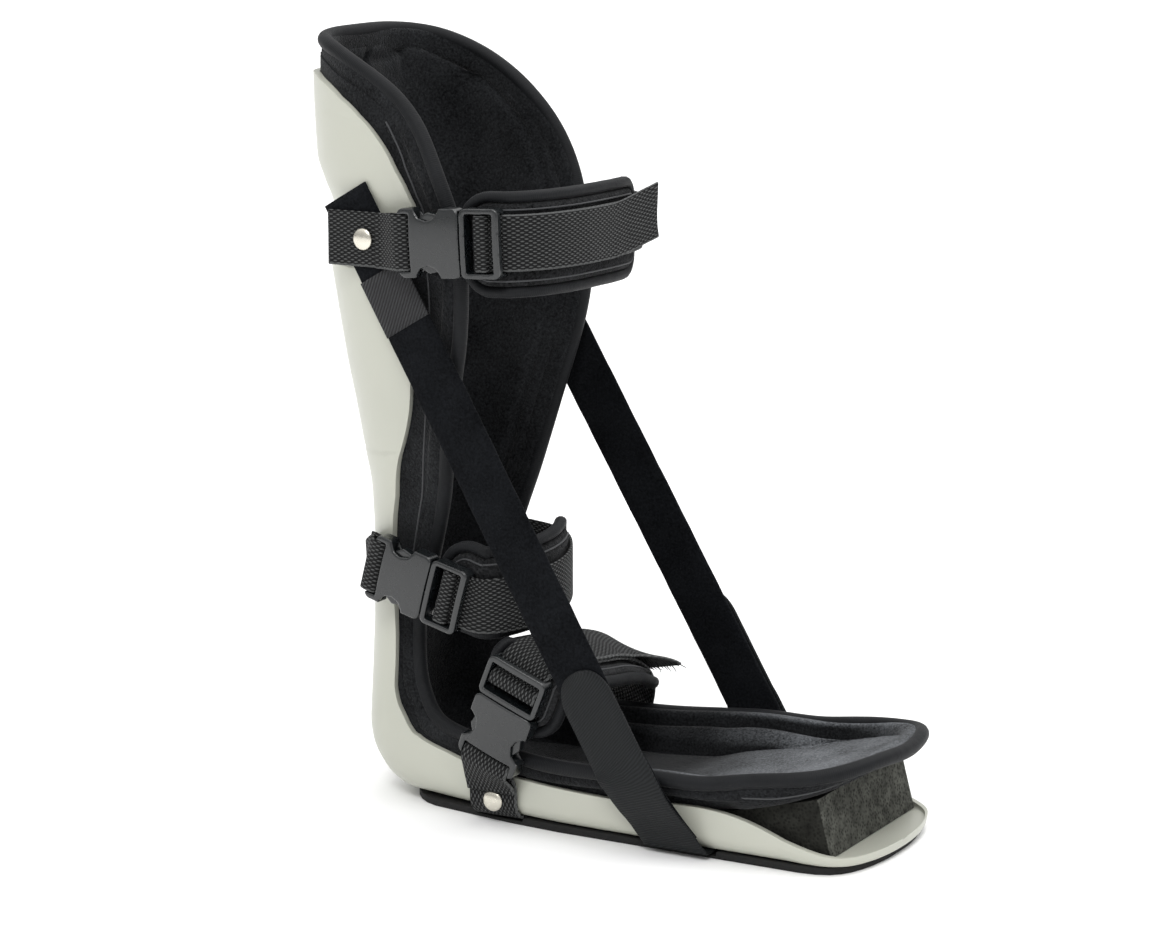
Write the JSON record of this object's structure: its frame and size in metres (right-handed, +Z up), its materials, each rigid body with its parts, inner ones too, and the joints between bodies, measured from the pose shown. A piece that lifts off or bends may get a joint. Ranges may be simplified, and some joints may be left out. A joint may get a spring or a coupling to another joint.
{
  "type": "foot night splint",
  "caption": "Rigid L-shaped splint for foot and calf with padded liner, toe wedge, buckled webbing straps and slanting tension straps.",
  "frame": {"origin": "on the floor, under the leg's axis", "axes": "+X to the toes, +Y to the far side, +Z up along the leg"},
  "size_m": [0.2942, 0.1416, 0.3569],
  "materials": {
    "shell_plastic": "satin light grey moulded plastic",
    "tread_rubber": "matt black",
    "lining_fleece": "napped charcoal fleece",
    "binding_fabric": "smooth black knitted edging",
    "wedge_foam": "dark olive grey open foam",
    "strap_velour": "soft black velour",
    "hook_fabric": "fine ribbed black hook tape",
    "webbing": "coarse zigzag woven black webbing",
    "buckle_plastic": "satin dark grey",
    "pad_loop": "black loop fabric",
    "rivet_metal": "pale nickel"
  },
  "bodies": {
    "root": {"shell": "shell_plastic", "sole_tread": "tread_rubber", "liner": "lining_fleece", "liner_binding": "binding_fabric", "toe_wedge": "wedge_foam", "tension_strap_near": "strap_velour", "tension_strap_far": "strap_velour", "hook_tab_near": "hook_fabric", "hook_tab_far": "hook_fabric", "calf_anchor": "webbing", "calf_strap": "webbing", "calf_buckle_socket": "buckle_plastic", "calf_buckle_plug": "buckle_plastic", "calf_pad": "pad_loop", "calf_pad_binding": "binding_fabric", "ankle_anchor": "webbing", "ankle_strap": "webbing", "ankle_buckle_socket": "buckle_plastic", "ankle_buckle_plug": "buckle_plastic", "ankle_pad": "pad_loop", "ankle_pad_binding": "binding_fabric", "instep_anchor": "webbing", "instep_strap": "webbing", "instep_buckle_socket": "buckle_plastic", "instep_buckle_plug": "buckle_plastic", "instep_pad": "pad_loop", "instep_pad_binding": "binding_fabric", "calf_rivet_near": "rivet_metal", "calf_rivet_far": "rivet_metal", "instep_rivet_near": "rivet_metal", "instep_rivet_far": "rivet_metal"}
  },
  "joints": []
}
